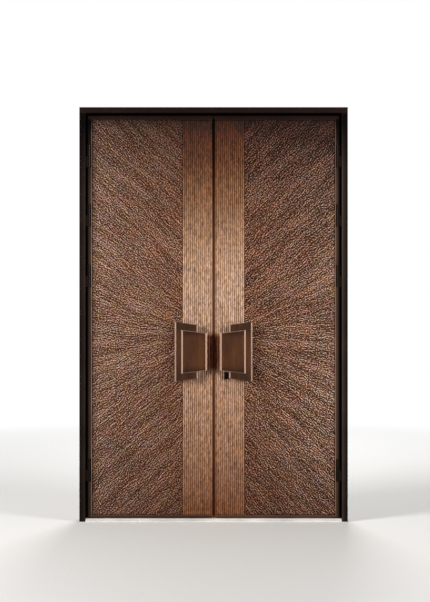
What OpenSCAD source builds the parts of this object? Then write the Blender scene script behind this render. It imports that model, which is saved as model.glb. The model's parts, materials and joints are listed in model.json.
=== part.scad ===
// Double front door: two leaves with a ray relief and a fluted strip, hung in a mitred metal frame.
// The front faces -Y, +X is right as seen from outside and +Z is up.
// The origin is the middle of the frame's foot, on the floor.

/* [Frame] */
// Overall width of the outer frame
frame_w = 1800; // [1760:10:1900]
// Overall height of the outer frame
frame_h = 2780; // [2660:10:2900]
// Depth of the outer frame from front to back
frame_d = 130; // [126:2:150]
// Width of the frame's front face
frame_face = 40; // [36:1:44]
// Width of the stop bars behind the leaves
stop_w = 48; // [46:1:56]
// Height of the threshold
sill_h = 20; // [18:1:24]
// Radius of the wall fixing holes
fixing_r = 5.5; // [4.5:0.5:6.5]

/* [Leaves] */
// How far the leaves sit back behind the frame's front
set_back = 25; // [22:1:30]
// Thickness of a leaf slab
leaf_t = 56; // [54:1:60]
// Thickness of the inside panel
inner_t = 4; // [3:0.5:5]
// Gap between a leaf and the jamb or the head
edge_gap = 16; // [14:1:18]
// Gap between the two leaves
seam_gap = 8; // [7:0.5:10]
// Gap between a leaf and the threshold
sill_gap = 6; // [5:0.5:8]

/* [Front faces] */
// Width of the fluted strip beside the seam
strip_w = 198; // [190:1:204]
// Number of reeds on a fluted strip
reed_n = 15; // [13:1:17]
// How far the reeds stand out from the leaf
reed_h = 10; // [9:0.5:12]
// Thickness of the relief panel below its ridges
relief_base = 6; // [4:0.5:8]
// Height of the tallest ridges
ridge_h = 9; // [6:0.5:11]
// Spacing of the ray lines on the hinge side
ray_pitch = 24; // [23:1:40]
// Height above the floor at which a ray runs level
ray_z = 1255; // [1200:5:1320]

/* [Hinges] */
// Height of a hinge
hinge_h = 148; // [130:2:160]
// Radius of a hinge knuckle
knuckle_r = 8; // [7:0.25:8.5]
// Radius of a hinge pin
pin_r = 4.5; // [4:0.25:5]

/* [Handles] */
// Height of the handles' middle above the floor
handle_z = 1141; // [1100:1:1200]
// Gap between the leaf's face and a handle's back frame
grip_gap = 32; // [28:1:40]
// Thickness of a handle's back frame
back_t = 14; // [12:1:18]
// Thickness of a handle's face plate
plate_t = 12; // [10:1:16]
// Radius of a handle post
post_r = 11; // [9:0.5:13]

/* [Lock] */
// Radius of a lock bolt
bolt_r = 9; // [7:0.5:9.5]
// Travel of the lock bolts
bolt_throw = 25; // [22:1:28]
// Radius of a flush bolt
rod_r = 6; // [5:0.25:7]
// Travel of the flush bolts
rod_throw = 22; // [20:1:22]

/* [Hidden] */
$fn = 48;
sides = ["left", "right"];
hinge_ids = [1, 2, 3, 4];

// Fits shared by all pieces
slip = 0.3;
run_fit = 0.05;
past = 1;

// Frame openings and depth levels
half_w = frame_w / 2;
in_x = half_w - frame_face;
in_z = frame_h - frame_face;
stop_x = in_x - stop_w;
stop_z = in_z - stop_w;
arris = 4;
seal_t = 4;
seal_w = 11;
y_front = -frame_d / 2;
y_rear = frame_d / 2;
y_leaf = y_front + set_back;
y_core = y_leaf + leaf_t;
y_back = y_core + inner_t;
y_stop = y_back + seal_t;
sill_front = y_front + 5;
sill_bevel = 6;

// Wall fixings in the jambs, as two pairs a side
fixing_y = -8;
fixing_low = 150;
fixing_top = 180;
fixing_high = frame_h - fixing_top;
fixing_mid_low = 850;
fixing_mid_high = 1850;

// Leaf outline
leaf_x = in_x - edge_gap;
leaf_top = in_z - edge_gap;
leaf_bot = sill_h + sill_gap;
leaf_h = leaf_top - leaf_bot;
seam_x = seam_gap / 2;
inner_margin = 2;
hinge_margin = 10;
sweep_in = 12;
sweep_out = 8;
sweep_t = sill_gap - 1;
sweep_w = 6;
// The meeting seal stops short of the other leaf, whose rear edge swings a little way across the seam
meet_gap = 2.3;
meet_t = seam_gap - meet_gap;
meet_in = 4;
meet_w = 6;

// Front faces of a leaf
side_margin = 27;
top_margin = 25;
foot_margin = 16;
strip_in = seam_x + 5;
strip_out = strip_in + strip_w;
relief_in = strip_out + slip;
relief_out = leaf_x - side_margin;
face_top = leaf_top - top_margin;
face_bot = leaf_bot + foot_margin;
y_reed = y_leaf - reed_h;
reed_pitch = strip_w / reed_n;
reed_sag = 3.5;
reed_r = (reed_pitch * reed_pitch / 4 + reed_sag * reed_sag) / (2 * reed_sag);
bead_w = 3;
bead_h = 12;

// Ray relief: straight lines that fan out level at ray_z and near 45 degrees far above and below
ray_w = relief_out - relief_in;
ray_reach = 1.12 * ray_w;
ray_segs = 9;
ray_tries = 20;
ray_seed = 7;
// Heights of valleys, ridges and the panel's rim as shares of the tallest ridge
valley_top = 0.25;
ridge_low = 0.55;
rim_share = 0.5;
squeeze_low = 0.25;
up = face_top - ray_z;
down = ray_z - face_bot;

// Hinges
hinge_in = 13;
hinge_x = leaf_x - hinge_in;
hinge_foot = 343;
hinge_mid = 1131;
hinge_upper = 724;
hinge_top = 326;
hinge_z = [hinge_foot, frame_h - hinge_mid, frame_h - hinge_upper, frame_h - hinge_top];
washer_t = 2;
strap_t = 4;
flap_t = 3;
flap_w = 38;
pin_end = 4;
notch_gap = 3;

// Handles, as distances from the seam and from the handle's middle
plate_in = 44;
plate_out = 215;
plate_in_h = 125;
plate_out_h = 146;
back_in = 103;
back_out = 260;
back_in_h = 179;
back_out_h = 200;
lap = 10;
bevel = 10;
rim_bevel = 4;
edge_t = 3;
post_x = 160;
post_dz = 158;

// Lock and bolts
lock_y = y_leaf + leaf_t / 2;
lock_drop = 161;
lock_z = handle_z - lock_drop;
lock_x = 89;
badge_w = 34;
badge_h = 46;
badge_t = 17;
badge_bevel = 2.5;
plug_r = 7;
key_w = 1.6;
key_h = 9;
key_d = 6;
spindle_r = 5;
spindle_gap = 0.4;
case_t = 24;
case_out = 120;
case_h = 260;
fore_t = 3;
fore_h = 300;
bolt_dz = [-100, 0, 100];
bolt_tail = 60;
bolt_tip = seam_x + 0.6;
link_w = 14;
link_t = 10;
rose_r = 24;
rose_t = 8;
knob_l = 28;
knob_w = 11;
knob_t = 18;
rod_x = 30;
rod_len = 300;
peg_r = 4;
peg_in = 200;
rod_tip = 0.5;

// Colours
dark_bronze = [0.18, 0.14, 0.12];
margin_brown = [0.25, 0.18, 0.15];
relief_bronze = [0.49, 0.37, 0.29];
reed_bronze = [0.72, 0.58, 0.47];
handle_brown = [0.31, 0.20, 0.14];
steel = [0.78, 0.76, 0.73];
hinge_steel = [0.30, 0.27, 0.25];
rubber = [0.05, 0.05, 0.05];
lock_black = [0.03, 0.03, 0.03];

// Mirrors a right-hand piece to the left
module on(side) {
    mirror([side == "left" ? 1 : 0, 0, 0])
        children();
}

// A flat plate drawn in X and Z that lies between two depths
module upright_plate(y0, y1) {
    translate([0, y1, 0])
        rotate([90, 0, 0])
            linear_extrude(y1 - y0)
                children();
}

// A box from its two corners
module box(a, b) {
    translate(a)
        cube(b - a);
}

// A round bar along Y between two depths
module bar_y(x, z, r, y0, y1) {
    translate([x, y1, z])
        rotate([90, 0, 0])
            cylinder(r = r, h = y1 - y0);
}

// A round bar along X
module bar_x(y, z, r, x0, x1) {
    translate([x0, y, z])
        rotate([0, 90, 0])
            cylinder(r = r, h = x1 - x0);
}

// Frame

module jamb(side) {
    color(dark_bronze)
        on(side)
            difference() {
                upright_plate(y_front, y_rear)
                    polygon([[in_x, 0], [half_w, 0], [half_w, frame_h], [in_x, in_z]]);
                translate([in_x, y_front, -past])
                    rotate(45)
                        translate([-arris, -arris, 0] / sqrt(2))
                            cube([arris * sqrt(2), arris * sqrt(2), frame_h]);
                for (z = [fixing_low, fixing_mid_low, fixing_mid_high, fixing_high])
                    bar_x(fixing_y, z, fixing_r, in_x - past, half_w + past);
            }
}

module head() {
    color(dark_bronze)
        difference() {
            upright_plate(y_front, y_rear)
                polygon([[-half_w, frame_h], [-in_x, in_z], [in_x, in_z], [half_w, frame_h]]);
            translate([-half_w, y_front, in_z])
                rotate([45, 0, 0])
                    translate([0, -arris, -arris] / sqrt(2))
                        cube([frame_w, arris * sqrt(2), arris * sqrt(2)]);
            translate([-rod_x, lock_y, in_z - past])
                cylinder(r = rod_r + 2 * slip, h = rod_throw + past);
        }
}

module stop_bar(side) {
    color(dark_bronze)
        on(side)
            upright_plate(y_stop, y_rear)
                polygon([[stop_x, 0], [in_x, 0], [in_x, in_z], [stop_x, stop_z]]);
}

module head_stop() {
    color(dark_bronze)
        upright_plate(y_stop, y_rear)
            polygon([[-in_x, in_z], [-stop_x, stop_z], [stop_x, stop_z], [in_x, in_z]]);
}

module threshold() {
    color(steel)
        difference() {
            union() {
                translate([-in_x, 0, 0])
                    rotate([90, 0, 90])
                        linear_extrude(2 * in_x)
                            polygon([[sill_front, 0], [y_stop, 0], [y_stop, sill_h],
                                     [sill_front + sill_bevel, sill_h], [sill_front, sill_h - sill_bevel]]);
                box([-stop_x, y_stop - past, 0], [stop_x, y_rear, sill_h]);
            }
            translate([-rod_x, lock_y, 2])
                cylinder(r = rod_r + 2 * slip, h = sill_h);
        }
}

module frame_seal() {
    seal_x = stop_x + seal_w;
    seal_z = stop_z + seal_w;
    color(rubber)
        upright_plate(y_back + slip, y_stop)
            difference() {
                translate([-seal_x, leaf_bot])
                    square([2 * seal_x, seal_z - leaf_bot]);
                translate([-stop_x, leaf_bot - past])
                    square([2 * stop_x, stop_z - leaf_bot + past]);
            }
}

// Hinges: the jamb half carries the pin and the leaf half lifts off it

module hinge_half(z0, z1, reach) {
    translate([hinge_x, y_leaf, z0])
        cylinder(r = knuckle_r, h = z1 - z0);
    box([hinge_x, y_leaf - strap_t / 2, z0], [reach, y_leaf + strap_t / 2, z1]);
    box([reach - flap_t, y_leaf - strap_t / 2, z0], [reach, y_leaf + flap_w, z1]);
}

module jamb_hinge(side, z) {
    color(hinge_steel)
        on(side)
            difference() {
                hinge_half(z - hinge_h / 2, z - washer_t / 2, in_x);
                translate([hinge_x, y_leaf, z - hinge_h / 2 + pin_end])
                    cylinder(r = pin_r, h = hinge_h);
            }
}

module leaf_hinge(side, z) {
    color(hinge_steel)
        on(side)
            difference() {
                hinge_half(z + washer_t / 2, z + hinge_h / 2, leaf_x + flap_t);
                translate([hinge_x, y_leaf, z])
                    cylinder(r = pin_r + run_fit, h = hinge_h / 2 - pin_end);
            }
}

module hinge_pins() {
    color(hinge_steel)
        for (s = sides, z = hinge_z)
            on(s)
                translate([hinge_x, y_leaf, z - hinge_h / 2 + pin_end])
                    cylinder(r = pin_r, h = hinge_h - 2 * pin_end - past);
}

module hinge_washers() {
    color(steel)
        for (s = sides, z = hinge_z)
            on(s)
                translate([hinge_x, y_leaf, z - washer_t / 2])
                    difference() {
                        cylinder(r = knuckle_r, h = washer_t);
                        translate([0, 0, -past])
                            cylinder(r = pin_r + run_fit, h = washer_t + 2 * past);
                    }
}

// Leaves

module hinge_notch(z) {
    reach = knuckle_r + notch_gap;
    box([hinge_x - reach, y_leaf - past, z - hinge_h / 2 - notch_gap],
        [leaf_x + past, y_leaf + reach, z + hinge_h / 2 + notch_gap]);
}

module lock_pocket() {
    half_t = case_t / 2 + slip;
    box([seam_x - past, lock_y - half_t, lock_z - case_h / 2 - slip],
        [case_out + slip, lock_y + half_t, lock_z + case_h / 2 + slip]);
    forend_recess();
    bar_y(lock_x, lock_z, plug_r + slip, y_leaf - past, lock_y);
    bar_y(lock_x, lock_z, spindle_r + spindle_gap, lock_y, y_core + past);
}

module forend_recess() {
    half_t = case_t / 2 + slip;
    box([seam_x - past, lock_y - half_t, lock_z - fore_h / 2 - slip],
        [seam_x + fore_t, lock_y + half_t, lock_z + fore_h / 2 + slip]);
}

module strike_bores() {
    forend_recess();
    for (dz = bolt_dz)
        bar_x(lock_y, lock_z + dz, bolt_r + 1.5, seam_x, bolt_throw + past);
}

// Bore and finger slot of a flush bolt, for a rod that rests between z0 and z1 and moves up by dz
module rod_bore(z0, z1, peg_z, dz) {
    translate([rod_x, lock_y, z0 - past])
        cylinder(r = rod_r + slip / 2, h = z1 - z0 + 2 * past);
    box([seam_x - past, lock_y - peg_r - slip, peg_z - peg_r - slip + min(dz, 0)],
        [rod_x, lock_y + peg_r + slip, peg_z + peg_r + slip + max(dz, 0)]);
}

module slab(side) {
    color(margin_brown)
        on(side)
            difference() {
                box([seam_x, y_leaf, leaf_bot], [leaf_x, y_core, leaf_top]);
                for (z = hinge_z)
                    hinge_notch(z);
                if (side == "right")
                    lock_pocket();
                if (side == "left") {
                    strike_bores();
                    rod_bore(leaf_top - rod_len, leaf_top, leaf_top - peg_in, rod_throw);
                    rod_bore(leaf_bot, leaf_bot + rod_len, leaf_bot + peg_in, -rod_throw);
                }
            }
}

module fluted_strip(side) {
    color(reed_bronze)
        on(side)
            difference() {
                translate([0, 0, face_bot])
                    linear_extrude(face_top - face_bot)
                        intersection() {
                            translate([strip_in, y_reed])
                                square([strip_w, reed_h]);
                            union() {
                                translate([strip_in, y_reed + reed_sag])
                                    square([strip_w, reed_h]);
                                for (i = [0.5:1:reed_n])
                                    translate([strip_in + i * reed_pitch, y_reed + reed_r])
                                        circle(r = reed_r);
                            }
                        }
                for (dz = [-post_dz, post_dz])
                    bar_y(post_x, handle_z + dz, post_r + slip, y_reed - past, y_leaf + past);
                if (side == "right")
                    box([lock_x - badge_w / 2 - slip, y_reed - past, lock_z - badge_h / 2 - slip],
                        [lock_x + badge_w / 2 + slip, y_leaf + past, lock_z + badge_h / 2 + slip]);
            }
}

module edge_bead(side) {
    out = relief_out + slip;
    top = face_top + slip;
    foot = face_bot - slip;
    color(reed_bronze)
        on(side)
            upright_plate(y_leaf - bead_h, y_leaf)
                difference() {
                    translate([strip_in, foot - bead_w])
                        square([out + bead_w - strip_in, top - foot + 2 * bead_w]);
                    translate([strip_in - past, foot])
                        square([out - strip_in + past, top - foot]);
                }
}

module inner_panel(side) {
    color(margin_brown)
        on(side)
            difference() {
                box([seam_x + inner_margin, y_core, leaf_bot + inner_margin],
                    [leaf_x - hinge_margin, y_back, leaf_top - inner_margin]);
                if (side == "right")
                    bar_y(lock_x, lock_z, spindle_r + spindle_gap, y_core - past, y_back + past);
            }
}

module sweep_seal(side) {
    color(rubber)
        on(side)
            box([seam_x + sweep_in, lock_y + rod_r + sweep_out, leaf_bot - sweep_t],
                [leaf_x - sweep_in, lock_y + rod_r + sweep_out + sweep_w, leaf_bot]);
}

module meeting_seal() {
    color(rubber)
        box([seam_x - meet_t, y_leaf + meet_in, leaf_bot + inner_margin],
            [seam_x, y_leaf + meet_in + meet_w, leaf_top - inner_margin]);
}

// Ray relief

function tanh(t) = (exp(2 * t) - 1) / (exp(2 * t) + 1);
function ray_slope(d) = tanh(d / ray_reach);
function ray_height(d, x) = ray_z + d - ray_slope(d) * (relief_out - x);
// How far the rays are squeezed together at x, against their spacing on the hinge side
function ray_squeeze(d, x) = 1 - (1 - pow(ray_slope(d), 2)) * (relief_out - x) / ray_reach;
// The ray that leaves the panel at a distance from the hinge side, through its top or foot edge
function ray_through(edge, gap, d, n) =
    n == 0 ? d : ray_through(edge, gap, edge + ray_slope(d) * gap, n - 1);

module relief_panel(side) {
    rows = round((up + down) / ray_pitch);
    cols = round(ray_w / ray_pitch);
    col_w = ray_w / cols;
    row_d = [for (i = [0:rows]) [-down + i * (up + down) / rows, relief_out]];
    foot_d = [for (i = [cols - 1:-1:1])
        [ray_through(-down, i * col_w, -down, ray_tries), relief_out - i * col_w]];
    top_d = [for (i = [1:cols - 1])
        [ray_through(up, i * col_w, up, ray_tries), relief_out - i * col_w]];
    rays = concat(foot_d, row_d, top_d);
    last = len(rays) - 1;
    chance = rands(0, 1, len(rays) * (ray_segs + 1), ray_seed);

    function vertex_id(k, j) = k * (ray_segs + 1) + j;
    function mixed(a, b, t) = a + (b - a) * t;
    function ridge(k, j) = k % 2 == 1
        ? mixed(ridge_low, 1, chance[vertex_id(k, j)])
        : mixed(0, valley_top, chance[vertex_id(k, j)]);
    function rim(j) = j == 0 || j == ray_segs ? rim_share : 1;
    function front_point(k, j) =
        let (x = relief_in + (rays[k][1] - relief_in) * j / ray_segs,
             d = rays[k][0],
             h = ridge_h * ridge(k, j) * rim(j) * max(squeeze_low, ray_squeeze(d, x)))
        [x, y_leaf - relief_base - h, min(max(ray_height(d, x), face_bot), face_top)];

    fronts = [for (k = [0:last], j = [0:ray_segs]) front_point(k, j)];
    foot_id = len(fronts);
    top_id = foot_id + 1;
    corners = [for (z = [face_bot, face_top]) [relief_in, y_leaf - relief_base, z]];
    surface = concat(fronts, corners);
    loop = concat([foot_id], [for (k = [0:last]) vertex_id(k, 0)], [top_id],
                  [for (k = [last:-1:0]) vertex_id(k, ray_segs)]);
    n = len(loop);
    back_id = len(surface);
    mid_id = back_id + n;
    backs = [for (i = loop) [surface[i][0], y_leaf, surface[i][2]]];
    middle = [(relief_in + relief_out) / 2, y_leaf, (face_bot + face_top) / 2];

    field = [for (k = [0:last - 1], j = [0:ray_segs - 1]) each
        [[vertex_id(k, j), vertex_id(k + 1, j), vertex_id(k + 1, j + 1)],
         [vertex_id(k, j), vertex_id(k + 1, j + 1), vertex_id(k, j + 1)]]];
    foot_fan = [for (j = [0:ray_segs - 1]) [foot_id, vertex_id(0, j), vertex_id(0, j + 1)]];
    top_fan = [for (j = [0:ray_segs - 1]) [top_id, vertex_id(last, j + 1), vertex_id(last, j)]];
    walls = [for (i = [0:n - 1]) let (i2 = (i + 1) % n) each
        [[loop[i], back_id + i, back_id + i2], [loop[i], back_id + i2, loop[i2]]]];
    back_fan = [for (i = [0:n - 1]) [mid_id, back_id + (i + 1) % n, back_id + i]];

    color(relief_bronze)
        on(side)
            polyhedron(concat(surface, backs, [middle]),
                       concat(field, foot_fan, top_fan, walls, back_fan));
}

// Handles: a plate in front of a C-shaped frame that is open toward the seam

function plate_half(x) =
    plate_in_h + (x - plate_in) * (plate_out_h - plate_in_h) / (plate_out - plate_in);
function back_half(x) =
    back_in_h + (x - back_in) * (back_out_h - back_in_h) / (back_out - back_in);

// Puts a handle on the outside or, turned about, on the inside of a leaf
module on_face(inside) {
    translate([0, inside ? y_back : y_reed, handle_z])
        mirror([0, inside ? 1 : 0, 0])
            children();
}

// An outline in X and Z with bevelled front edges; base and front are lists of points
module bevelled(y0, t, base, front) {
    hull() {
        upright_plate(y0 - edge_t, y0)
            polygon(base);
        upright_plate(y0 - t, y0)
            polygon(front);
    }
}

// Half of the outline of one arm of the back frame, between x0 and x1
function arm_outline(x0, x1, inset) = [
    [x0, plate_half(x0) - lap], [x1, plate_half(x1) - lap],
    [x1, back_half(x1) - inset], [x0, back_half(x0) - inset]];

function upright_outline(x0, x1, inset) = [
    [x0, inset - back_half(x0)], [x1, inset - back_half(x1)],
    [x1, back_half(x1) - inset], [x0, back_half(x0) - inset]];

module back_frame(side, inside) {
    bar_in = plate_out - lap;
    color(handle_brown)
        on(side)
            on_face(inside) {
                bevelled(-grip_gap, back_t, upright_outline(bar_in, back_out, 0),
                         upright_outline(bar_in, back_out - bevel, rim_bevel));
                for (m = [0, 1])
                    mirror([0, 0, m])
                        bevelled(-grip_gap, back_t, arm_outline(back_in, plate_out, 0),
                                 arm_outline(back_in + bevel, plate_out, rim_bevel));
            }
}

function plate_outline(x0, x1, inset) = [
    [x0, inset - plate_half(x0)], [x1, inset - plate_half(x1)],
    [x1, plate_half(x1) - inset], [x0, plate_half(x0) - inset]];

module face_plate(side, inside) {
    color(handle_brown)
        on(side)
            on_face(inside)
                bevelled(-grip_gap - back_t, plate_t, plate_outline(plate_in, plate_out, 0),
                         plate_outline(plate_in + bevel, plate_out - bevel, rim_bevel));
}

module handle_posts(side) {
    color(handle_brown)
        on(side)
            for (dz = [-post_dz, post_dz]) {
                bar_y(post_x, handle_z + dz, post_r, y_reed - grip_gap, y_leaf);
                bar_y(post_x, handle_z + dz, post_r, y_back, y_back + grip_gap);
            }
}

// Lock in the right leaf, thrown into the left leaf

module lock_case() {
    cavity_t = link_t / 2 + slip;
    cavity_h = bolt_dz[2] + bolt_r + slip;
    color(hinge_steel)
        difference() {
            box([seam_x + fore_t, lock_y - case_t / 2, lock_z - case_h / 2],
                [case_out, lock_y + case_t / 2, lock_z + case_h / 2]);
            box([bolt_tail - link_w - bolt_throw - slip, lock_y - cavity_t, lock_z - cavity_h],
                [bolt_tail + slip, lock_y + cavity_t, lock_z + cavity_h]);
            for (dz = bolt_dz)
                bar_x(lock_y, lock_z + dz, bolt_r + run_fit, seam_x, bolt_tail + slip);
            bar_y(lock_x, lock_z, spindle_r + run_fit, lock_y - case_t, lock_y + case_t);
        }
}

module forend(hole_r) {
    difference() {
        box([seam_x, lock_y - case_t / 2, lock_z - fore_h / 2],
            [seam_x + fore_t, lock_y + case_t / 2, lock_z + fore_h / 2]);
        for (dz = bolt_dz)
            bar_x(lock_y, lock_z + dz, hole_r, seam_x - past, seam_x + fore_t + past);
    }
}

module lock_forend() {
    color(steel)
        forend(bolt_r + run_fit);
}

module strike_plate() {
    color(steel)
        on("left")
            forend(bolt_r + 1);
}

module lock_bolts() {
    color(steel) {
        for (dz = bolt_dz)
            bar_x(lock_y, lock_z + dz, bolt_r, bolt_tip, bolt_tail);
        box([bolt_tail - link_w, lock_y - link_t / 2, lock_z + bolt_dz[0]],
            [bolt_tail, lock_y + link_t / 2, lock_z + bolt_dz[2]]);
    }
}

module lock_badge() {
    out_x = badge_w / 2;
    out_z = badge_h / 2;
    color(lock_black)
        difference() {
            hull() {
                box([lock_x - out_x, y_leaf - badge_t + badge_bevel, lock_z - out_z],
                    [lock_x + out_x, y_leaf, lock_z + out_z]);
                box([lock_x - out_x + badge_bevel, y_leaf - badge_t, lock_z - out_z + badge_bevel],
                    [lock_x + out_x - badge_bevel, y_leaf, lock_z + out_z - badge_bevel]);
            }
            bar_y(lock_x, lock_z, plug_r + run_fit, y_leaf - badge_t - past, y_leaf + past);
        }
}

module key_plug() {
    plug_front = y_leaf - badge_t - past;
    color(lock_black)
        difference() {
            bar_y(lock_x, lock_z, plug_r, plug_front, lock_y - case_t / 2 - past);
            box([lock_x - key_w / 2, plug_front - past, lock_z - key_h / 2],
                [lock_x + key_w / 2, plug_front + key_d, lock_z + key_h / 2]);
        }
}

module turn_rose() {
    color(handle_brown)
        difference() {
            bar_y(lock_x, lock_z, rose_r, y_back, y_back + rose_t);
            bar_y(lock_x, lock_z, spindle_r + run_fit, y_back - past, y_back + rose_t + past);
        }
}

module thumb_turn() {
    knob_y = y_back + rose_t + slip;
    knob_dz = (knob_l - knob_w) / 2;
    color(handle_brown) {
        bar_y(lock_x, lock_z, spindle_r, lock_y - case_t / 2 - past, knob_y + past);
        for (dz = [-knob_dz, knob_dz])
            bar_y(lock_x, lock_z + dz, knob_w / 2, knob_y, knob_y + knob_t);
        box([lock_x - knob_w / 2, knob_y, lock_z - knob_dz],
            [lock_x + knob_w / 2, knob_y + knob_t, lock_z + knob_dz]);
    }
}

// Flush bolts of the left leaf, each with its finger peg, drawn back at rest

module flush_bolt(z0, z1, peg_z) {
    color(steel)
        on("left") {
            translate([rod_x, lock_y, z0])
                cylinder(r = rod_r, h = z1 - z0);
            bar_x(lock_y, peg_z, peg_r, seam_x + past, rod_x);
        }
}

module top_flush_bolt() {
    flush_bolt(leaf_top - rod_len, leaf_top - rod_tip, leaf_top - peg_in);
}

module bottom_flush_bolt() {
    flush_bolt(leaf_bot + rod_tip, leaf_bot + rod_len, leaf_bot + peg_in);
}

head();
head_stop();
threshold();
frame_seal();
hinge_pins();
hinge_washers();
for (s = sides) {
    jamb(s);
    stop_bar(s);
    slab(s);
    relief_panel(s);
    fluted_strip(s);
    edge_bead(s);
    inner_panel(s);
    sweep_seal(s);
    back_frame(s, false);
    face_plate(s, false);
    back_frame(s, true);
    face_plate(s, true);
    handle_posts(s);
    for (i = hinge_ids) {
        jamb_hinge(s, hinge_z[i - 1]);
        leaf_hinge(s, hinge_z[i - 1]);
    }
}
strike_plate();
top_flush_bolt();
bottom_flush_bolt();
meeting_seal();
lock_case();
lock_forend();
lock_bolts();
lock_badge();
key_plug();
turn_rose();
thumb_turn();
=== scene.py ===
"""Looks of the double front door: fine relief and reeds, metal finishes, light, floor and camera."""

import json
import math

import bpy
import numpy as np
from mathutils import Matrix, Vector


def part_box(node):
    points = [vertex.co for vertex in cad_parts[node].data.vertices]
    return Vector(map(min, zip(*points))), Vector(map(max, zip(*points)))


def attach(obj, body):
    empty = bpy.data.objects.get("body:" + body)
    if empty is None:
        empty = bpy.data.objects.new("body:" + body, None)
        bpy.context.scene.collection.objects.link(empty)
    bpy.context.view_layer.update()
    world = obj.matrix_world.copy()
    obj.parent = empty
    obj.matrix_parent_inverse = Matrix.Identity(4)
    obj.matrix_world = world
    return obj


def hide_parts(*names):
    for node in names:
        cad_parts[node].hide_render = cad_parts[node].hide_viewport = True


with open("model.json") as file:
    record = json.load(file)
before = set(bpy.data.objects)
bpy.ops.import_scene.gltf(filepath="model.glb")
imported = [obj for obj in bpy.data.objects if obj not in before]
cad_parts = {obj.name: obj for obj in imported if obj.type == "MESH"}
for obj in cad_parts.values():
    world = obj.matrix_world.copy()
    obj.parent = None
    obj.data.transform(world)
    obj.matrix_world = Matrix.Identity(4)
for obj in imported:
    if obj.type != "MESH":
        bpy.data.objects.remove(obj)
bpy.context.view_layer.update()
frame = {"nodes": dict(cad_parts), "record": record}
SIDES = ("left", "right")

# Places taken from the solids, in metres
FRAME_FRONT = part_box("head")[0].y
DOORWAY_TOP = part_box("head")[0].z
JAMB_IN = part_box("right_jamb")[0].x
JAMB_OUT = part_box("right_jamb")[1].x
LEAF_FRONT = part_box("right_slab")[0].y
LEAF_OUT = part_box("right_slab")[1].x
LEAF_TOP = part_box("right_slab")[1].z
STRIP_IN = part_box("right_fluted_strip")[0].x
RELIEF_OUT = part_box("right_relief_panel")[1].x
RELIEF_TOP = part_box("right_relief_panel")[1].z
HANDLE_Z = sum(corner.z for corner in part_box("right_outer_back_frame")) / 2

# Rays as the solids have them: the height of the level ray, and the reach in panel widths
RAY_Z = 1.255
RAY_REACH = 1.12

# Fine relief: grid steps, lowest and highest ripples, and the rim over which they sink to a share
RELIEF_STEP_X = 0.0040
RELIEF_STEP_Z = 0.0042
RELIEF_LOW = 0.0035
RELIEF_HIGH = 0.0140
RELIEF_RIM = 0.006
RIM_SHARE = 0.35
RELIEF_SEEDS = {"left": 31, "right": 47}

# Strokes of the relief as (noise cell, length of a stroke, samples along it), and their shares
WANDER = (0.060, 0.05, 3)
WANDER_TURN = 0.06
BROAD = (0.014, 0.26, 25)
BROAD_SHARE = 0.14
BROAD_TONE = 0.8
RIPPLE = (0.0066, 0.046, 11)
RIPPLE_SHARE = 0.30

# Reeds of the fluted strips: height of a reed, grid steps across it and along it
REED_COUNT = 15
REED_SAG = 0.0035
REED_STEPS = 10
REED_ROW = 0.012
REED_SEEDS = {"left": 11, "right": 23}
UNEVEN = (0.012, 0.09, 7)
UNEVEN_DEPTH = 0.00022
GROOVE_SLACK = 0.0005

# Tone of the reeds: noise cell, distance between reeds in that noise, and two speeds with their shares
TONE_CELL = 0.2
TONE_APART = 2 * TONE_CELL
TONE_SLOW = 0.6
SLOW_SHARE = 0.28
TONE_QUICK = 8
QUICK_SHARE = 0.48

# Bristles of the seam's seal
PILE_TIP = -0.0040
PILE_COLUMNS = 5
PILE_STEP = 0.002
PILE_PROUD = 0.002
PILE_TUFT = 0.0006
PILE_LOOSE = 0.0005
PILE_SEED = 5

# Noise cells kept free around a panel, and steps that solve for a ray
LATTICE_MARGIN = 20
RAY_STEPS = 40

# Floor: half its side, and the distances between which it fades to white
FLOOR_HALF = 40.0
FADE_START = 2.2
FADE_END = 6.5

# Light that the white surroundings give, and the lamps as (name, place, target, power)
WORLD_LIGHT = 0.04
LAMP_SIZE = 2.5
LAMPS = [
    ("left", (-6.5, -4.0, 3.2), (0.0, 0.0, 1.2), 760.0),
    ("right", (6.5, -4.0, 2.4), (0.0, 0.0, 1.2), 530.0),
    ("rear", (0.5, 5.5, 4.0), (0.0, 0.0, 1.3), 260.0),
]

# Camera: place before the frame, picture height in pixels, and metres a pixel at the frame's front
CAMERA_X = 0.0096
CAMERA_Z = 1.4803
CAMERA_DISTANCE = 8.0
CAMERA_SENSOR = 36.0
CAMERA_END = 100.0
PICTURE_ROWS = 602
METRES_A_PIXEL = 0.006705


# Colours


def rgb(r, g, b):
    """A display colour from 0 to 255 as the linear colour that nodes take."""

    def linear(v):
        v /= 255
        return v / 12.92 if v <= 0.04045 else ((v + 0.055) / 1.055) ** 2.4

    return (linear(r), linear(g), linear(b), 1.0)


def tint(r, g, b):
    """Shares of red, green and blue to multiply a colour by."""
    return (r, g, b, 1.0)


def grey(share):
    """One share for all three colours."""
    return tint(share, share, share)


# Node helpers


def add(tree, kind, inputs=None, **settings):
    """Adds a node, then sets its properties and sets or links its inputs."""
    made = tree.nodes.new(kind)
    for key, value in settings.items():
        setattr(made, key, value)
    for key, value in (inputs or {}).items():
        feed(tree, made.inputs[key], value)
    return made


def feed(tree, socket, value):
    """Links a node's output to a socket, or sets the socket to a plain value."""
    if isinstance(value, bpy.types.NodeSocket):
        tree.links.new(value, socket)
    else:
        socket.default_value = value


def start(name):
    """A new material with one surface shader: (material, tree, shader)."""
    mat = bpy.data.materials.new(name)
    mat.use_nodes = True
    tree = mat.node_tree
    return mat, tree, tree.nodes["Principled BSDF"]


def finish(tree, shader, **sockets):
    """Links or sets the shader's sockets, with spaces in their names written as underscores."""
    for key, value in sockets.items():
        feed(tree, shader.inputs[key.replace("_", " ")], value)


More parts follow.
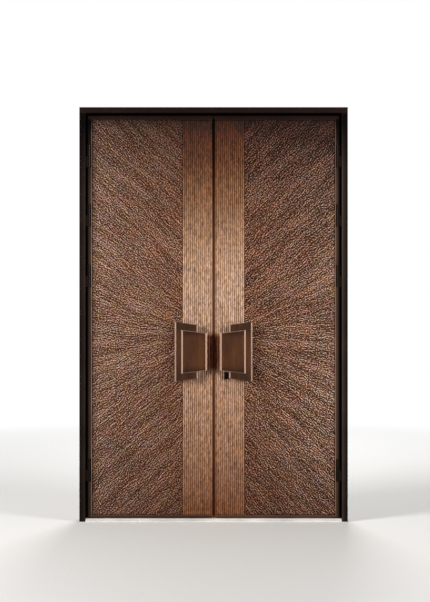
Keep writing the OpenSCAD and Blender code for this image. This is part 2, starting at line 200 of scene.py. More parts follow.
def coords(tree, scale):
    """The piece's own coordinates, scaled to noise cells a metre along X, Y and Z."""
    where = add(tree, "ShaderNodeTexCoord").outputs["Object"]
    return add(tree, "ShaderNodeMapping", {"Vector": where, "Scale": scale}).outputs[0]


def places(tree):
    """The piece's own X, Y and Z in metres."""
    where = add(tree, "ShaderNodeTexCoord").outputs["Object"]
    return add(tree, "ShaderNodeSeparateXYZ", {0: where}).outputs


def attribute(tree, name):
    """A value kept on each point of a piece."""
    return add(tree, "ShaderNodeAttribute", attribute_name=name).outputs["Fac"]


def noise(tree, vector, detail=3.0, rough=0.55, scale=1.0, space="3D"):
    """A noise value from 0 to 1 at the given place."""
    inputs = {"Vector": vector, "Scale": scale, "Detail": detail, "Roughness": rough}
    return add(tree, "ShaderNodeTexNoise", inputs, noise_dimensions=space).outputs["Fac"]


def gabor(tree, vector, scale, waves, angle, order):
    """Short parallel waves across an angle: scale is cells a metre, waves is waves a cell."""
    inputs = {
        "Vector": vector,
        "Scale": scale,
        "Frequency": waves,
        "Anisotropy": order,
        "Orientation": angle,
    }
    return add(tree, "ShaderNodeTexGabor", inputs, gabor_type="2D").outputs["Value"]


def maths(tree, how, a, b=0.0):
    """One arithmetic step on two values."""
    return add(tree, "ShaderNodeMath", {0: a, 1: b}, operation=how).outputs[0]


def product(tree, a, b):
    """One value times another."""
    return maths(tree, "MULTIPLY", a, b)


def size_of(tree, value):
    """A value without its sign."""
    return maths(tree, "ABSOLUTE", value)


def remap(tree, value, low, high, to_low=0.0, to_high=1.0):
    """Spreads a value between two limits onto another range, held at its ends."""
    inputs = {"Value": value, "From Min": low, "From Max": high, "To Min": to_low, "To Max": to_high}
    return add(tree, "ShaderNodeMapRange", inputs, clamp=True).outputs[0]


def weigh(tree, middle, shares):
    """A middle level that each value from 0 to 1 moves up or down by its share."""
    level = middle
    for value, share in shares:
        swing = maths(tree, "SUBTRACT", value, 0.5)
        level = maths(tree, "ADD", level, product(tree, swing, share))
    return level


def mix(tree, factor, a, b, how="MIX"):
    """Mixes two colours."""
    made = add(tree, "ShaderNodeMix", data_type="RGBA", blend_type=how)
    for place, value in ((0, factor), (6, a), (7, b)):
        feed(tree, made.inputs[place], value)
    return made.outputs[2]


def times(tree, colour, shade):
    """A colour multiplied by a shade."""
    return mix(tree, 1.0, colour, shade, "MULTIPLY")


def ramp(tree, value, stops):
    """A colour that runs through stops of (place, colour)."""
    made = add(tree, "ShaderNodeValToRGB", {"Fac": value})
    points = made.color_ramp.elements
    while len(points) < len(stops):
        points.new(0.5)
    for point, (place, colour) in zip(points, stops):
        point.position = place
        point.color = colour
    return made.outputs["Color"]


def shaded(tree, colour, value, stops):
    """A colour multiplied by the shades that a value runs through."""
    return times(tree, colour, ramp(tree, value, stops))


def mottled(tree, colour, tone, swing=0.17):
    """A colour that follows a tone by a swing to either side."""
    return shaded(tree, colour, tone, [(0.34, grey(1 - swing)), (0.66, grey(1 + swing))])


def crisp(tree, colour, level, share, low, middle, high):
    """Deepens a colour's hollows with painted shade and lights its crests with painted highlight, by a
    share from 0 to 1.
    """
    stops = [(0.1, grey(low)), (0.5, grey(middle)), (0.95, grey(high))]
    return mix(tree, share, colour, shaded(tree, colour, level, stops))


def bump(tree, shader, height, depth):
    """Gives the shader a fine surface from a height value, depth in metres."""
    made = add(tree, "ShaderNodeBump", {"Height": height, "Distance": depth, "Strength": 1.0})
    tree.links.new(made.outputs[0], shader.inputs["Normal"])


def edge_wear(tree, radius):
    """1 along a piece's outer edges and 0 on its faces, broken up by patches."""
    soft = add(tree, "ShaderNodeBevel", {"Radius": radius}, samples=6).outputs[0]
    face = add(tree, "ShaderNodeNewGeometry").outputs["True Normal"]
    turn = add(tree, "ShaderNodeVectorMath", {0: soft, 1: face}, operation="DOT_PRODUCT").outputs["Value"]
    patches = noise(tree, coords(tree, (45.0, 45.0, 45.0)), detail=4.0)
    return product(tree, remap(tree, turn, 0.98, 0.80), remap(tree, patches, 0.35, 0.6))


def left_to_right(tree, left, right):
    """One colour on the left leaf and jamb and another on the right ones."""
    return mix(tree, remap(tree, places(tree)["X"], -0.001, 0.001), left, right)


def above_handle(tree):
    """The distance above or below the middle of the handles."""
    return size_of(tree, maths(tree, "SUBTRACT", places(tree)["Z"], HANDLE_Z))


# Strips and seam

# Colours of the strips from the floor to the top of the doorway, with painted light and shade: darker
# toward the head and the foot, lightest in the middle
STRIP_TONES = [
    (0.03, rgb(119, 75, 49)),
    (0.24, rgb(164, 122, 94)),
    (0.54, rgb(187, 149, 122)),
    (0.64, rgb(178, 138, 108)),
    (0.78, rgb(132, 90, 59)),
    (0.88, rgb(93, 52, 26)),
    (0.95, rgb(69, 32, 12)),
    (0.98, rgb(42, 18, 8)),
]

# Painted shade between the handles: tints on the strips and in the seam, and where it fades out
STRIP_HANDLE_SHADE = tint(0.76, 0.43, 0.34)
SEAM_HANDLE_SHADE = tint(0.26, 0.13, 0.09)
HANDLE_SHADE_RISE = (0.135, 0.105)
HANDLE_SHADE_SIDE = (0.055, 0.035)

# Painted shade in the reeds' grooves and painted highlight on their crests, painted shade on the right
# strip's inner reed beside the seam, and shades by clouds
REED_SHADES = [(0.1, tint(0.22, 0.19, 0.17)), (0.55, grey(0.80)), (1.0, grey(1.22))]
INNER_REED = [(0.2, grey(1)), (0.3, grey(0.42)), (0.45, grey(0.5)), (0.72, grey(1))]
REED_CLOUDS = [(0.33, tint(0.96, 1.0, 1.12)), (0.5, grey(1)), (0.67, tint(1.05, 0.99, 0.86))]

# Painted shade and highlight that deepen the contrast of the upper reeds: shares for grooves, flanks and
# crests, and where it comes in
REED_CRISP = (0.2, 0.62, 1.4)
REED_CRISP_RISE = (2.05, 2.45)


def handle_shade_mask(tree):
    """1 on the painted shade between the two handles, and 0 away from it."""
    beside = size_of(tree, places(tree)["X"])
    return product(tree, remap(tree, above_handle(tree), *HANDLE_SHADE_RISE), remap(tree, beside, *HANDLE_SHADE_SIDE))


def strip_shaded_colour(tree, patch):
    """The colour of the strips by height with its painted light and shade, and the painted shade between
    the handles.
    """
    colour = ramp(tree, remap(tree, places(tree)["Z"], 0.0, DOORWAY_TOP), STRIP_TONES)
    return mix(tree, handle_shade_mask(tree), colour, patch, "MULTIPLY")


def near_front(tree):
    """1 at the front of the leaves and 0 deeper in the seam, where painted shade comes in."""
    return remap(tree, places(tree)["Y"], LEAF_FRONT + 0.008, LEAF_FRONT + 0.004)


def seam_edge(tree):
    """The colour of a leaf's narrow edge beside the seam: painted shade makes it darker than the strip,
    darker on the right leaf than the left, and darker still deeper in the seam.
    """
    shade = left_to_right(tree, tint(0.62, 0.49, 0.43), tint(0.36, 0.27, 0.24))
    colour = times(tree, strip_shaded_colour(tree, SEAM_HANDLE_SHADE), shade)
    return mix(tree, near_front(tree), rgb(45, 32, 26), colour)


def bristles(name):
    """Brown bristles that follow the colour of the strips beside them, with its painted light and shade,
    and painted shade deeper in the seam.
    """
    mat, tree, shader = start(name)
    mottle = noise(tree, coords(tree, (900.0, 900.0, 250.0)), detail=2.0)
    colour = times(tree, strip_shaded_colour(tree, SEAM_HANDLE_SHADE), tint(0.98, 0.66, 0.48))
    colour = mix(tree, near_front(tree), rgb(42, 31, 26), colour)
    colour = mottled(tree, colour, mottle)
    rough = remap(tree, mottle, 0.3, 0.7, 0.7, 0.9)
    finish(tree, shader, Base_Color=colour, Roughness=rough, Specular_IOR_Level=0.05)
    bump(tree, shader, mottle, 0.0002)
    return mat


def reed_metal(name):
    """Copper bronze with fine strokes along the reeds, a tone for each reed, painted shade in the grooves
    and painted highlight on the crests.
    """
    mat, tree, shader = start(name)
    strokes = noise(tree, coords(tree, (110.0, 60.0, 30.0)), detail=4.0, rough=0.65)
    clouds = noise(tree, coords(tree, (20.0, 20.0, 7.0)), detail=4.0)
    mottle = noise(tree, coords(tree, (80.0, 80.0, 40.0)), detail=2.0)
    where = places(tree)
    depth = remap(tree, where["X"], -0.02, 0.02, 0.82, 1.0)
    shares = [(attribute(tree, "height"), depth), (strokes, 0.90), (attribute(tree, "tone"), 0.52)]
    level = weigh(tree, 0.5, shares)
    # Painted light and shade by height, painted shade in the grooves and painted highlight on the crests
    colour = shaded(tree, strip_shaded_colour(tree, STRIP_HANDLE_SHADE), level, REED_SHADES)
    # Painted shade on the right strip's inner reed beside the seam
    colour = shaded(tree, colour, remap(tree, where["X"], 0.0, 0.03), INNER_REED)
    # Painted shade and highlight that deepen the contrast of the upper reeds
    upper = remap(tree, where["Z"], *REED_CRISP_RISE)
    share = product(tree, upper, remap(tree, where["X"], -0.02, 0.02, 0.6, 1.0))
    colour = crisp(tree, colour, level, share, *REED_CRISP)
    colour = mottled(tree, colour, mottle, 0.34)
    colour = shaded(tree, colour, clouds, REED_CLOUDS)
    rough = remap(tree, strokes, 0.3, 0.7, 0.34, 0.52)
    finish(tree, shader, Base_Color=colour, Roughness=rough, Metallic=0.0, Specular_IOR_Level=0.04)
    bump(tree, shader, strokes, 0.0004)
    return mat


# Relief

# Colours from the hollows to the crests: partly the bronze's own tone, partly painted shade in the hollows
# and painted highlight on the crests
RELIEF_TONES = [
    (0.02, rgb(38, 11, 3)),
    (0.28, rgb(75, 40, 23)),
    (0.52, rgb(108, 73, 52)),
    (0.76, rgb(149, 115, 93)),
    (0.98, rgb(195, 163, 140)),
]

# Painted shade from the floor to the top of the doorway: darker toward the foot and much darker toward the
# head
RELIEF_RISE = [
    (0.03, tint(0.64, 0.58, 0.56)),
    (0.20, tint(0.86, 0.85, 0.85)),
    (0.36, grey(1)),
    (0.66, grey(1)),
    (0.80, tint(0.78, 0.76, 0.75)),
    (0.90, tint(0.49, 0.46, 0.45)),
    (0.95, tint(0.30, 0.27, 0.26)),
    (0.98, tint(0.165, 0.118, 0.108)),
]

# Painted shade and highlight that deepen the contrast on the right leaf: shares for hollows, flanks and
# crests, then its strength by height
RELIEF_CRISP = (0.12, 0.64, 2.0)
RIGHT_CRISP = [
    (0.05, grey(0.25)),
    (0.30, grey(0.4)),
    (0.74, grey(0.4)),
    (0.87, grey(0.65)),
    (0.98, grey(1)),
]

# Painted shade of the right leaf by height
RIGHT_DIM = [
    (0.30, tint(0.875, 0.84, 0.82)),
    (0.58, tint(0.805, 0.755, 0.73)),
    (0.87, tint(0.785, 0.735, 0.71)),
    (0.97, tint(0.89, 0.79, 0.77)),
]

# Painted shade from the strip out to the hinges, and painted shadow along the left and upper edges
RELIEF_OUTWARD = [(0.0, tint(0.785, 0.67, 0.61)), (0.9, tint(0.975, 1.0, 1.045))]
EDGE_SHADE = [(0.0, tint(0.5, 0.46, 0.44)), (1.0, grey(1))]
LEFT_SHADE_WIDTH = 0.040
TOP_SHADE = (RELIEF_TOP - 0.002, RELIEF_TOP - 0.069)

# Tints of the patches
WARM_PATCHES = [(0.3, tint(0.90, 1.0, 1.02)), (0.7, tint(1.11, 1.0, 0.97))]
COOL_PATCHES = [(0.3, tint(1.0, 1.01, 0.84)), (0.7, tint(1.0, 0.99, 1.18))]


def relief_painted_shade(tree, colour, level):
    """Paints shade on the relief along a height that slants across the leaves, by leaf and toward its
    edges, and deepens the right leaf's contrast with painted shade and highlight.
    """
    where = places(tree)
    # Painted shade along a height that slants across the leaves
    slant = product(tree, where["X"], remap(tree, where["Z"], 1.3, 2.4, 0.0, 0.19))
    rise = remap(tree, maths(tree, "ADD", where["Z"], slant), 0.0, DOORWAY_TOP)
    colour = shaded(tree, colour, rise, RELIEF_RISE)
    # Painted shade and deeper painted contrast on the right leaf
    right = remap(tree, where["X"], -0.1, 0.1)
    share = product(tree, right, ramp(tree, rise, RIGHT_CRISP))
    colour = crisp(tree, colour, level, share, *RELIEF_CRISP)
    colour = mix(tree, right, colour, shaded(tree, colour, rise, RIGHT_DIM))
    # Painted shade toward the strip, and painted shadow along the left and upper edges
    outward = remap(tree, size_of(tree, where["X"]), 0.2, 0.8)
    colour = shaded(tree, colour, outward, RELIEF_OUTWARD)
    from_left = remap(tree, where["X"], -RELIEF_OUT, LEFT_SHADE_WIDTH - RELIEF_OUT)
    colour = shaded(tree, colour, from_left, EDGE_SHADE)
    from_top = remap(tree, where["Z"], *TOP_SHADE)
    return shaded(tree, colour, from_top, EDGE_SHADE)


def relief_metal(name):
    """Cast bronze: dark in the hollows, brown on the flanks and golden on the crests, partly the bronze's
    own tone and partly painted shade and highlight.
    """
    mat, tree, shader = start(name)
    where = places(tree)
    flat = add(tree, "ShaderNodeCombineXYZ", {"X": where["X"], "Y": where["Z"]}).outputs[0]
    strokes = gabor(tree, flat, 46.0, 1.5, attribute(tree, "angle"), 0.9)
    grain = noise(tree, flat, detail=1.5, scale=134.0, space="2D")
    pits = noise(tree, coords(tree, (330.0, 330.0, 330.0)), detail=3.0)
    shares = [
        (strokes, 1.7),
        (grain, 2.8),
        (attribute(tree, "height"), 0.16),
        (attribute(tree, "rays"), 0.20),
    ]
    level = weigh(tree, 0.46, shares)
    colour = relief_painted_shade(tree, ramp(tree, level, RELIEF_TONES), level)
    warm = noise(tree, flat, detail=2.5, scale=9.0, space="2D")
    cool = noise(tree, flat, detail=2.5, scale=12.0)
    colour = shaded(tree, colour, warm, WARM_PATCHES)
    colour = shaded(tree, colour, cool, COOL_PATCHES)
    rough = remap(tree, level, 0.2, 0.9, 0.62, 0.36)
    finish(tree, shader, Base_Color=colour, Roughness=rough, Metallic=0.12, Specular_IOR_Level=0.08)
    fine = maths(tree, "ADD", product(tree, strokes, 0.6), product(tree, grain, 0.8))
    fine = maths(tree, "ADD", fine, product(tree, pits, 0.06))
    bump(tree, shader, fine, 0.005)
    return mat


# Handles

# Painted shade of the plates and of the frames behind them, from the middle of the handle to its ends
PLATE_ENDS = [(0.5, tint(1.06, 1.06, 1.04)), (0.61, tint(0.9, 0.9, 0.94)), (0.72, tint(0.58, 0.58, 0.64))]
FRAME_ENDS = [(0.45, tint(1.04, 1.04, 1.02)), (0.72, tint(0.86, 0.88, 0.92)), (0.9, tint(0.64, 0.72, 0.84))]

# Shades of the brushed bands on the faces, and painted light and shade on the bevels, from those facing
# down to those facing up
FACE_SHADES = [(0.36, tint(0.84, 0.82, 0.80)), (0.5, grey(1)), (0.64, tint(1.16, 1.16, 1.12))]
BEVEL_SHADES = [(0.15, grey(1.7)), (0.5, grey(1)), (0.85, grey(0.7))]


def handle_metal(name, polish_and_highlight_dark, polish_and_highlight_light, rim_share, ends):
    """Dark brushed bronze whose bevels are bright, partly rubbed and partly a painted highlight; the bevels
    are found by their slope.

    The rim share says how much of the lacquer is rubbed off the upper and lower edges, partly wear and
    partly a painted highlight, and ends are the painted shades from the middle of the handle to its ends.
    """
    mat, tree, shader = start(name)
    streaks = noise(tree, coords(tree, (420.0, 420.0, 7.0)), detail=4.0, rough=0.6)
    bands = noise(tree, coords(tree, (34.0, 34.0, 1.5)), detail=3.0)
    clouds = noise(tree, coords(tree, (14.0, 14.0, 9.0)), detail=4.0)
    patches = noise(tree, coords(tree, (60.0, 60.0, 25.0)), detail=4.0)
    face = mix(tree, remap(tree, streaks, 0.3, 0.7), rgb(60, 37, 25), rgb(82, 52, 36))
    face = mix(tree, remap(tree, clouds, 0.4, 0.65), face, rgb(84, 51, 30))
    face = shaded(tree, face, bands, FACE_SHADES)
    # Painted shade toward the handle's ends
    face = shaded(tree, face, remap(tree, above_handle(tree), 0.0, 0.17), ends)
    outward = add(tree, "ShaderNodeTexCoord").outputs["Normal"]
    normal = add(tree, "ShaderNodeSeparateXYZ", {0: outward}).outputs
    side = size_of(tree, normal["X"])
    rim = size_of(tree, normal["Z"])
    # Bevels and rims take the bright colour, partly wear and partly a painted highlight
    wear_and_highlight = product(tree, remap(tree, side, 0.3, 0.45), remap(tree, side, 0.9, 0.8))
    rubbed = product(tree, remap(tree, rim, 0.6, 0.75, 0.0, rim_share), remap(tree, rim, 0.99, 0.95))
    wear_and_highlight = maths(tree, "MAXIMUM", wear_and_highlight, rubbed)
    wear_and_highlight = product(tree, wear_and_highlight, remap(tree, patches, 0.25, 0.6, 0.9, 1.0))
    # Painted light and shade on the bright colour by the way each bevel faces
    slope = remap(tree, normal["Z"], -1.0, 1.0)
    polish_and_highlight = shaded(tree, mix(tree, streaks, polish_and_highlight_dark, polish_and_highlight_light), slope, BEVEL_SHADES)
    colour = mix(tree, wear_and_highlight, face, polish_and_highlight)
    rough = remap(tree, wear_and_highlight, 0.0, 1.0, 0.38, 0.26)
    metallic = remap(tree, rubbed, 0.0, 1.0, 0.92, 0.1)
    finish(tree, shader, Base_Color=colour, Roughness=rough, Metallic=metallic)
    bump(tree, shader, streaks, 0.00005)
    return mat


# Plain metals, rubber and lacquer


def brushed_metal(name, light, dark, grain, bands=()):
    """Patinated metal with a brushed grain; grain holds the streaks' scale along X, Y and Z.

    Each band (axis, start, end, colour) brings in a colour, or what a function makes, from start to end;
    many bands carry painted light and shade.
    """
    mat, tree, shader = start(name)
    streaks = noise(tree, coords(tree, grain), detail=4.0, rough=0.6)
    clouds = noise(tree, coords(tree, (5.0, 5.0, 5.0)), detail=5.0)
    specks = noise(tree, coords(tree, (260.0, 260.0, 260.0)), detail=2.0)
    tone = maths(tree, "ADD", product(tree, streaks, 0.5), product(tree, clouds, 0.5))
    colour = mix(tree, remap(tree, tone, 0.34, 0.66), dark, light)
    where = places(tree)
    # The bands bring in colours of the metal and painted light and shade
    for axis, begin, end, band_colour in bands:
        reach = remap(tree, size_of(tree, where[axis]), begin, end)
        band_colour = band_colour(tree) if callable(band_colour) else band_colour
        colour = mix(tree, reach, colour, mottled(tree, band_colour, tone))
    rubbed = times(tree, colour, tint(1.5, 1.47, 1.44))
    colour = mix(tree, edge_wear(tree, 0.003), colour, rubbed)
    rough = remap(tree, clouds, 0.3, 0.7, 0.32, 0.5)
    finish(tree, shader, Base_Color=colour, Roughness=rough, Metallic=0.9, Specular_IOR_Level=0.3)
    height = maths(tree, "ADD", streaks, product(tree, specks, 0.4))
    bump(tree, shader, height, 0.00006)
    return mat


def dull(name, light, dark, rough, gloss):
    """Rubber or lacquer: a fine mottle and a slight orange-peel surface."""
    mat, tree, shader = start(name)
    mottle = noise(tree, coords(tree, (900.0, 900.0, 900.0)), detail=2.0)
    colour = mix(tree, mottle, dark, light)
    rough = remap(tree, mottle, 0.3, 0.7, *rough)
    finish(tree, shader, Base_Color=colour, Roughness=rough, Specular_IOR_Level=gloss)
    bump(tree, shader, mottle, 0.00004)
    return mat


def jamb_face(tree):
    """The colour of the jambs' inner part, darker on the left jamb than the right as painted light and
    shade.
    """
    return left_to_right(tree, rgb(39, 30, 25), rgb(57, 45, 40))


def margin_face(tree):
    """The colour of the leaves' margin beside the relief, lighter on the right leaf as painted light and
    shade.
    """
    return left_to_right(tree, rgb(72, 53, 43), rgb(86, 64, 53))


# Bands as (axis, start, end, colour), mostly painted light and shade; the first height is painted shade
# that darkens the metal toward the head
DARK_START = 2.22
DARK_END = 2.67
FRAME_BANDS = [
    ("X", JAMB_OUT - 0.010, JAMB_IN + 0.004, jamb_face),
    # Painted shadow line along the jambs' inner corner by the gap
    ("X", JAMB_IN + 0.0025, JAMB_IN + 0.0010, rgb(20, 14, 11)),
    ("Z", DARK_START, DARK_END, rgb(6, 2, 2)),
    ("Z", DOORWAY_TOP - 0.005, DOORWAY_TOP + 0.005, rgb(30, 18, 14)),
]
MARGIN_BANDS = [
    # Painted shade on the margin by the gap, lightening inward
    ("X", LEAF_OUT - 0.002, LEAF_OUT - 0.018, margin_face),
    ("X", STRIP_IN + 0.0015, STRIP_IN + 0.0005, seam_edge),
    ("Z", DARK_START, DARK_END, rgb(6, 3, 2)),
    ("Z", LEAF_TOP - 0.024, LEAF_TOP - 0.018, rgb(30, 17, 14)),
]
BEAD_BANDS = [
    # Painted shade on the bead toward the foot and toward the head
    ("Z", 0.075, 0.045, rgb(104, 74, 60)),
    ("Z", 1.7, 2.4, rgb(112, 86, 73)),
    ("Z", RELIEF_TOP - 0.099, RELIEF_TOP - 0.009, rgb(48, 33, 27)),
]

# Finishes by material slot: brushed metals as (light, dark, grain, bands), then the others
BRUSHED = {
    "frame_bronze": (rgb(30, 21, 17), rgb(20, 14, 10), (60.0, 60.0, 8.0), FRAME_BANDS),
    "margin_bronze": (rgb(52, 37, 30), rgb(38, 27, 22), (120.0, 120.0, 6.0), MARGIN_BANDS),
    "inside_bronze": (rgb(94, 68, 54), rgb(80, 57, 45), (240.0, 240.0, 4.0)),
    "threshold_steel": (rgb(232, 227, 221), rgb(206, 201, 195), (5.0, 300.0, 300.0)),
    "lock_steel": (rgb(196, 192, 186), rgb(168, 164, 158), (300.0, 300.0, 12.0)),
    "hinge_steel": (rgb(35, 26, 22), rgb(25, 18, 15), (200.0, 200.0, 20.0)),
}
FINISHES = {slot: brushed_metal(slot, *look) for slot, look in BRUSHED.items()}
FINISHES["handle_bronze"] = handle_metal(
    "handle_bronze", rgb(166, 134, 116), rgb(194, 162, 142), 0.9, PLATE_ENDS
)
FINISHES["relief_bronze"] = relief_metal("relief_bronze")
FINISHES["reed_bronze"] = reed_metal("reed_bronze")
FINISHES["lock_black"] = dull("lock_black", rgb(28, 11, 8), rgb(14, 4, 3), (0.1, 0.2), 0.04)
FINISHES["rubber"] = dull("rubber", rgb(20, 19, 19), rgb(11, 11, 11), (0.6, 0.8), 0.05)

# Finishes of single pieces that differ from their slot's
BEAD = brushed_metal("bead_bronze", rgb(158, 127, 107), rgb(124, 96, 80), (150.0, 150.0, 9.0), BEAD_BANDS)
# The back frames take a brighter colour on their bevels: partly wear, partly painted highlight
BACK_FRAME = handle_metal("back_bronze", rgb(206, 172, 150), rgb(232, 198, 176), 0.1, FRAME_ENDS)
PILE = bristles("seam_pile")


# Fine shapes


def lattice(rng, width, height, cell):
    """White noise on a lattice over a panel, read between its points by the returned function."""
    shape = (int(width / cell) + 2 * LATTICE_MARGIN, int(height / cell) + 2 * LATTICE_MARGIN)
    values = rng.standard_normal(shape)

    def read(x, z):
        u = x / cell + LATTICE_MARGIN
        v = z / cell + LATTICE_MARGIN
        i = np.clip(np.floor(u).astype(int), 0, shape[0] - 2)
        j = np.clip(np.floor(v).astype(int), 0, shape[1] - 2)
        a = u - i
        b = v - j
        a = a * a * (3 - 2 * a)
        b = b * b * (3 - 2 * b)
        low = values[i, j] * (1 - a) + values[i + 1, j] * a
        high = values[i, j + 1] * (1 - a) + values[i + 1, j + 1] * a
        return low * (1 - b) + high * b

    return read


def strokes_along(rng, x, z, angle, cell, length, count):
    """Noise over a panel, drawn out along an angle so that it forms strokes of about that length."""
    read = lattice(rng, x.max(), z.max(), cell)
    total = np.zeros_like(x)
    for t in np.linspace(-0.5, 0.5, count):
        weight = math.cos(math.pi * t)
        total += weight * read(x + t * length * np.cos(angle), z + t * length * np.sin(angle))
    return total / total.std()


def ray_field(x, z, width):
    """The slope of the ray through each point of a panel."""
    reach = RAY_REACH * width
    gap = width - x
    d = z - RAY_Z
    for _ in range(RAY_STEPS):
        slope = np.tanh(d / reach)
        d -= (d - slope * gap - (z - RAY_Z)) / (1 - (1 - slope**2) * gap / reach)
    return np.tanh(d / reach)


def spread(values):
    """Values spread softly onto 0 to 1."""
    return 0.5 + 0.5 * np.tanh(values)


def grid_over(node, steps, row):
    """A node's inner edge, the places of columns counted from that edge, and the heights of rows."""
    low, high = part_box(node)
    inner = min(abs(low[0]), abs(high[0]))
    xs = np.linspace(0.0, high[0] - low[0], steps + 1)
    zs = np.linspace(low[2], high[2], int((high[2] - low[2]) / row) + 1)
    return inner, xs, zs


def closed_panel(name, xs, zs, fronts, back, mirror):
    """A panel over a grid in X and Z with its own depth at each point, closed by edges and a flat back."""
    cols, rows = len(xs), len(zs)
    grid_x, grid_z = np.meshgrid(xs, zs, indexing="ij")
    sign = -1.0 if mirror else 1.0
    front = np.stack([sign * grid_x, fronts, grid_z], axis=-1).reshape(-1, 3)
    rim = [i * rows for i in range(cols)]
    rim += [(cols - 1) * rows + j for j in range(1, rows)]
    rim += [i * rows + rows - 1 for i in range(cols - 2, -1, -1)]
    rim += [j for j in range(rows - 2, 0, -1)]
    behind = front[rim].copy()
    behind[:, 1] = back
    verts = np.concatenate([front, behind])
    first = len(front)
    i, j = np.meshgrid(np.arange(cols - 1), np.arange(rows - 1), indexing="ij")
    a = (i * rows + j).ravel()
    faces = np.stack([a, a + rows, a + rows + 1, a + 1], axis=-1).tolist()
    count = len(rim)
    for k in range(count):
        after = (k + 1) % count
        faces.append([rim[k], first + k, first + after, rim[after]])
    faces.append([first + k for k in range(count)][::-1])
    if mirror:
        faces = [face[::-1] for face in faces]
    mesh = bpy.data.meshes.new(name)
    mesh.from_pydata(verts.tolist(), [], faces)
    mesh.validate()
    smooth = np.zeros(len(mesh.polygons), dtype=bool)
    smooth[: len(a)] = True
    mesh.polygons.foreach_set("use_smooth", smooth)
    made = bpy.data.objects.new(name, mesh)
    bpy.context.scene.collection.objects.link(made)
    return made, rim


def point_values(made, rim, name, values):
    """Keeps one value for each point of a panel, with the rim's values repeated on its back."""
    flat = values.ravel()
    layer = made.data.attributes.new(name, "FLOAT", "POINT")
    layer.data.foreach_set("value", np.concatenate([flat, flat[rim]]).astype(np.float32))


def relief(side):
    """The ray relief of one leaf: short broken ripples that run along the rays."""
    node = side + "_relief_panel"
    low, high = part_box(node)
    mirror = side == "left"
    width = high[0] - low[0]
    x_in, xs, zs = grid_over(node, int(width / RELIEF_STEP_X), RELIEF_STEP_Z)
    x, z = np.meshgrid(xs, zs, indexing="ij")
    rng = np.random.default_rng(RELIEF_SEEDS[side])
    ray_angle = np.arctan(ray_field(x, z, width))

    angle = ray_angle + WANDER_TURN * strokes_along(rng, x, z, 0.0, *WANDER)
    broad = strokes_along(rng, x, z, ray_angle, *BROAD)
    ripple = strokes_along(rng, x, z, angle, *RIPPLE)
    edge = np.minimum(np.minimum(x, width - x), np.minimum(z - low[2], high[2] - z))
    height = spread(RIPPLE_SHARE * ripple + BROAD_SHARE * broad)
    height = height * np.clip(edge / RELIEF_RIM, RIM_SHARE, 1.0)
    fronts = high[1] - RELIEF_LOW - (RELIEF_HIGH - RELIEF_LOW) * height

    made, rim = closed_panel(side + "_relief", xs + x_in, zs, fronts, high[1], mirror)
    point_values(made, rim, "height", height)
    point_values(made, rim, "rays", spread(BROAD_TONE * broad))
    point_values(made, rim, "angle", math.pi / 2 + (-angle if mirror else angle))
    made.data.materials.append(FINISHES["relief_bronze"])
    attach(made, side + "_leaf")
    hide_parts(node)


def reeds(side):
    """The fluted strip of one leaf: round reeds with the slight unevenness of hand finishing."""
    node = side + "_fluted_strip"
    low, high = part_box(node)
    mirror = side == "left"
    pitch = (high[0] - low[0]) / REED_COUNT
    radius = (pitch**2 / 4 + REED_SAG**2) / (2 * REED_SAG)
    x_in, xs, zs = grid_over(node, REED_COUNT * REED_STEPS, REED_ROW)
    x, z = np.meshgrid(xs, zs, indexing="ij")
    rng = np.random.default_rng(REED_SEEDS[side])

    middle = np.clip(np.floor(x / pitch), 0, REED_COUNT - 1) + 0.5
    across = x - middle * pitch
    drop = radius - np.sqrt(radius**2 - across**2)
    uneven = strokes_along(rng, x, z, math.pi / 2, *UNEVEN)
    drop = np.clip(drop + UNEVEN_DEPTH * uneven, 0.0, REED_SAG + GROOVE_SLACK)
    reed = middle * TONE_APART
    span = REED_COUNT * TONE_APART
    slow = lattice(rng, span, high[2], TONE_CELL)(reed, z * TONE_SLOW)
    quick = lattice(rng, span, high[2] * TONE_QUICK, TONE_CELL)(reed, z * TONE_QUICK)

    made, rim = closed_panel(side + "_reeds", xs + x_in, zs, low[1] + drop, high[1], mirror)
    point_values(made, rim, "height", 1 - drop / REED_SAG)
    point_values(made, rim, "tone", spread(SLOW_SHARE * slow + QUICK_SHARE * quick))
    made.data.materials.append(FINISHES["reed_bronze"])
    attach(made, side + "_leaf")
    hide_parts(node)


def pile_seal():
    """The seal in the seam: rows of short bristles that reach across to the other leaf."""
    low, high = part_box("meeting_seal")
    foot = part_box("right_sweep_seal")[0][2]
    xs = np.linspace(PILE_TIP, high[0], PILE_COLUMNS)
    zs = np.linspace(foot, high[2], int((high[2] - foot) / PILE_STEP) + 1)
    rng = np.random.default_rng(PILE_SEED)
    tufts = PILE_TUFT * (np.arange(len(zs)) % 2) + PILE_LOOSE * rng.random((len(xs), len(zs)))
    made, _ = closed_panel("seam_pile", xs, zs, low[1] - PILE_PROUD + tufts, high[1], False)
    made.data.materials.append(PILE)
    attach(made, "right_leaf")
    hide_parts("meeting_seal")


for side in SIDES:
    relief(side)
    reeds(side)
pile_seal()


# Finishes on the solids


def dress(node, material):
    """Puts a material on every face of a solid."""
    solid = frame["nodes"][node]
    solid.data.materials.clear()
    solid.data.materials.append(material)


for sub_part in frame["record"]["subparts"]:
    name = sub_part["node"]
    if name.endswith("_edge_bead"):
        dress(name, BEAD)
    elif name.endswith("_back_frame"):
        dress(name, BACK_FRAME)
    else:
        dress(name, FINISHES[sub_part["material_slot"]])


# Floor, light and camera


def seen_rays(tree):
    """1 for rays that see a surface or its mirror image, 0 for rays that only gather light."""
    path = add(tree, "ShaderNodeLightPath").outputs
    seen = maths(tree, "MAXIMUM", path["Is Camera Ray"], path["Is Glossy Ray"])
    return maths(tree, "MAXIMUM", seen, path["Is Transmission Ray"])


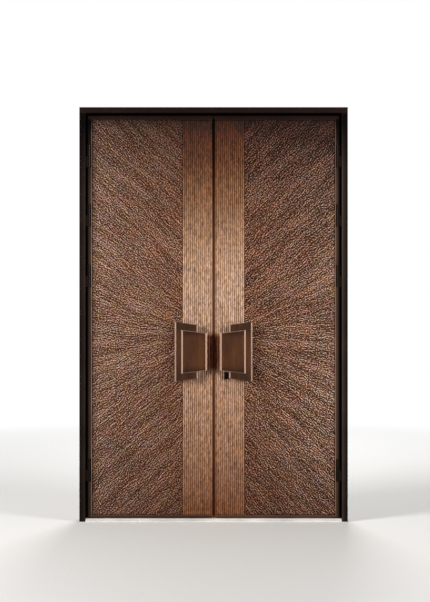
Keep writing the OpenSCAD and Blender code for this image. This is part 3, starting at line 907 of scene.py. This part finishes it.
def floor_material():
    """A pale floor that fades into the white surroundings far from the door."""
    mat, tree, shader = start("pale_floor")
    where = add(tree, "ShaderNodeTexCoord").outputs["Object"]
    far = add(tree, "ShaderNodeVectorMath", {0: where}, operation="LENGTH").outputs["Value"]
    grain = noise(tree, coords(tree, (30.0, 30.0, 30.0)))
    pale = mix(tree, grain, rgb(226, 224, 220), rgb(232, 230, 227))
    colour = mix(tree, seen_rays(tree), rgb(118, 115, 112), pale)
    finish(tree, shader, Base_Color=colour, Roughness=0.7, Specular_IOR_Level=0.2)
    white = add(tree, "ShaderNodeEmission", {"Color": grey(1), "Strength": 1.0})
    reach = product(tree, remap(tree, far, FADE_START, FADE_END), seen_rays(tree))
    fade = add(tree, "ShaderNodeMixShader", {0: reach, 1: shader.outputs[0], 2: white.outputs[0]})
    tree.links.new(fade.outputs[0], tree.nodes["Material Output"].inputs["Surface"])
    return mat


def make_floor():
    """A wide level floor under the door."""
    mesh = bpy.data.meshes.new("floor")
    corners = [(x * FLOOR_HALF, y * FLOOR_HALF, 0) for x, y in ((-1, -1), (1, -1), (1, 1), (-1, 1))]
    mesh.from_pydata(corners, [], [(0, 1, 2, 3)])
    made = bpy.data.objects.new("floor", mesh)
    bpy.context.scene.collection.objects.link(made)
    made.data.materials.append(floor_material())


def make_world():
    """White for what is seen or mirrored, and a softer level for the light that it gives."""
    world = bpy.data.worlds.new("studio")
    bpy.context.scene.world = world
    world.use_nodes = True
    tree = world.node_tree
    background = tree.nodes["Background"]
    level = remap(tree, seen_rays(tree), 0.0, 1.0, WORLD_LIGHT, 1.0)
    finish(tree, background, Color=grey(1), Strength=level)


def make_lamp(name, place, target, power):
    """A soft square lamp that faces a target."""
    data = bpy.data.lights.new(name, "AREA")
    data.shape = "SQUARE"
    data.size = LAMP_SIZE
    data.energy = power
    made = bpy.data.objects.new(name, data)
    made.location = place
    aim = Vector(target) - Vector(place)
    made.rotation_euler = aim.to_track_quat("-Z", "Y").to_euler()
    bpy.context.scene.collection.objects.link(made)


def make_camera():
    """A level camera at eye height, straight in front of the door."""
    data = bpy.data.cameras.new("camera")
    data.sensor_fit = "VERTICAL"
    data.sensor_height = CAMERA_SENSOR
    data.lens = CAMERA_DISTANCE / METRES_A_PIXEL / PICTURE_ROWS * CAMERA_SENSOR
    data.clip_end = CAMERA_END
    made = bpy.data.objects.new("camera", data)
    made.location = (CAMERA_X, FRAME_FRONT - CAMERA_DISTANCE, CAMERA_Z)
    made.rotation_euler = (math.pi / 2, 0.0, 0.0)
    bpy.context.scene.collection.objects.link(made)
    bpy.context.scene.camera = made


make_floor()
make_world()
for lamp in LAMPS:
    make_lamp(*lamp)
make_camera()
bpy.context.scene.view_settings.view_transform = "Standard"
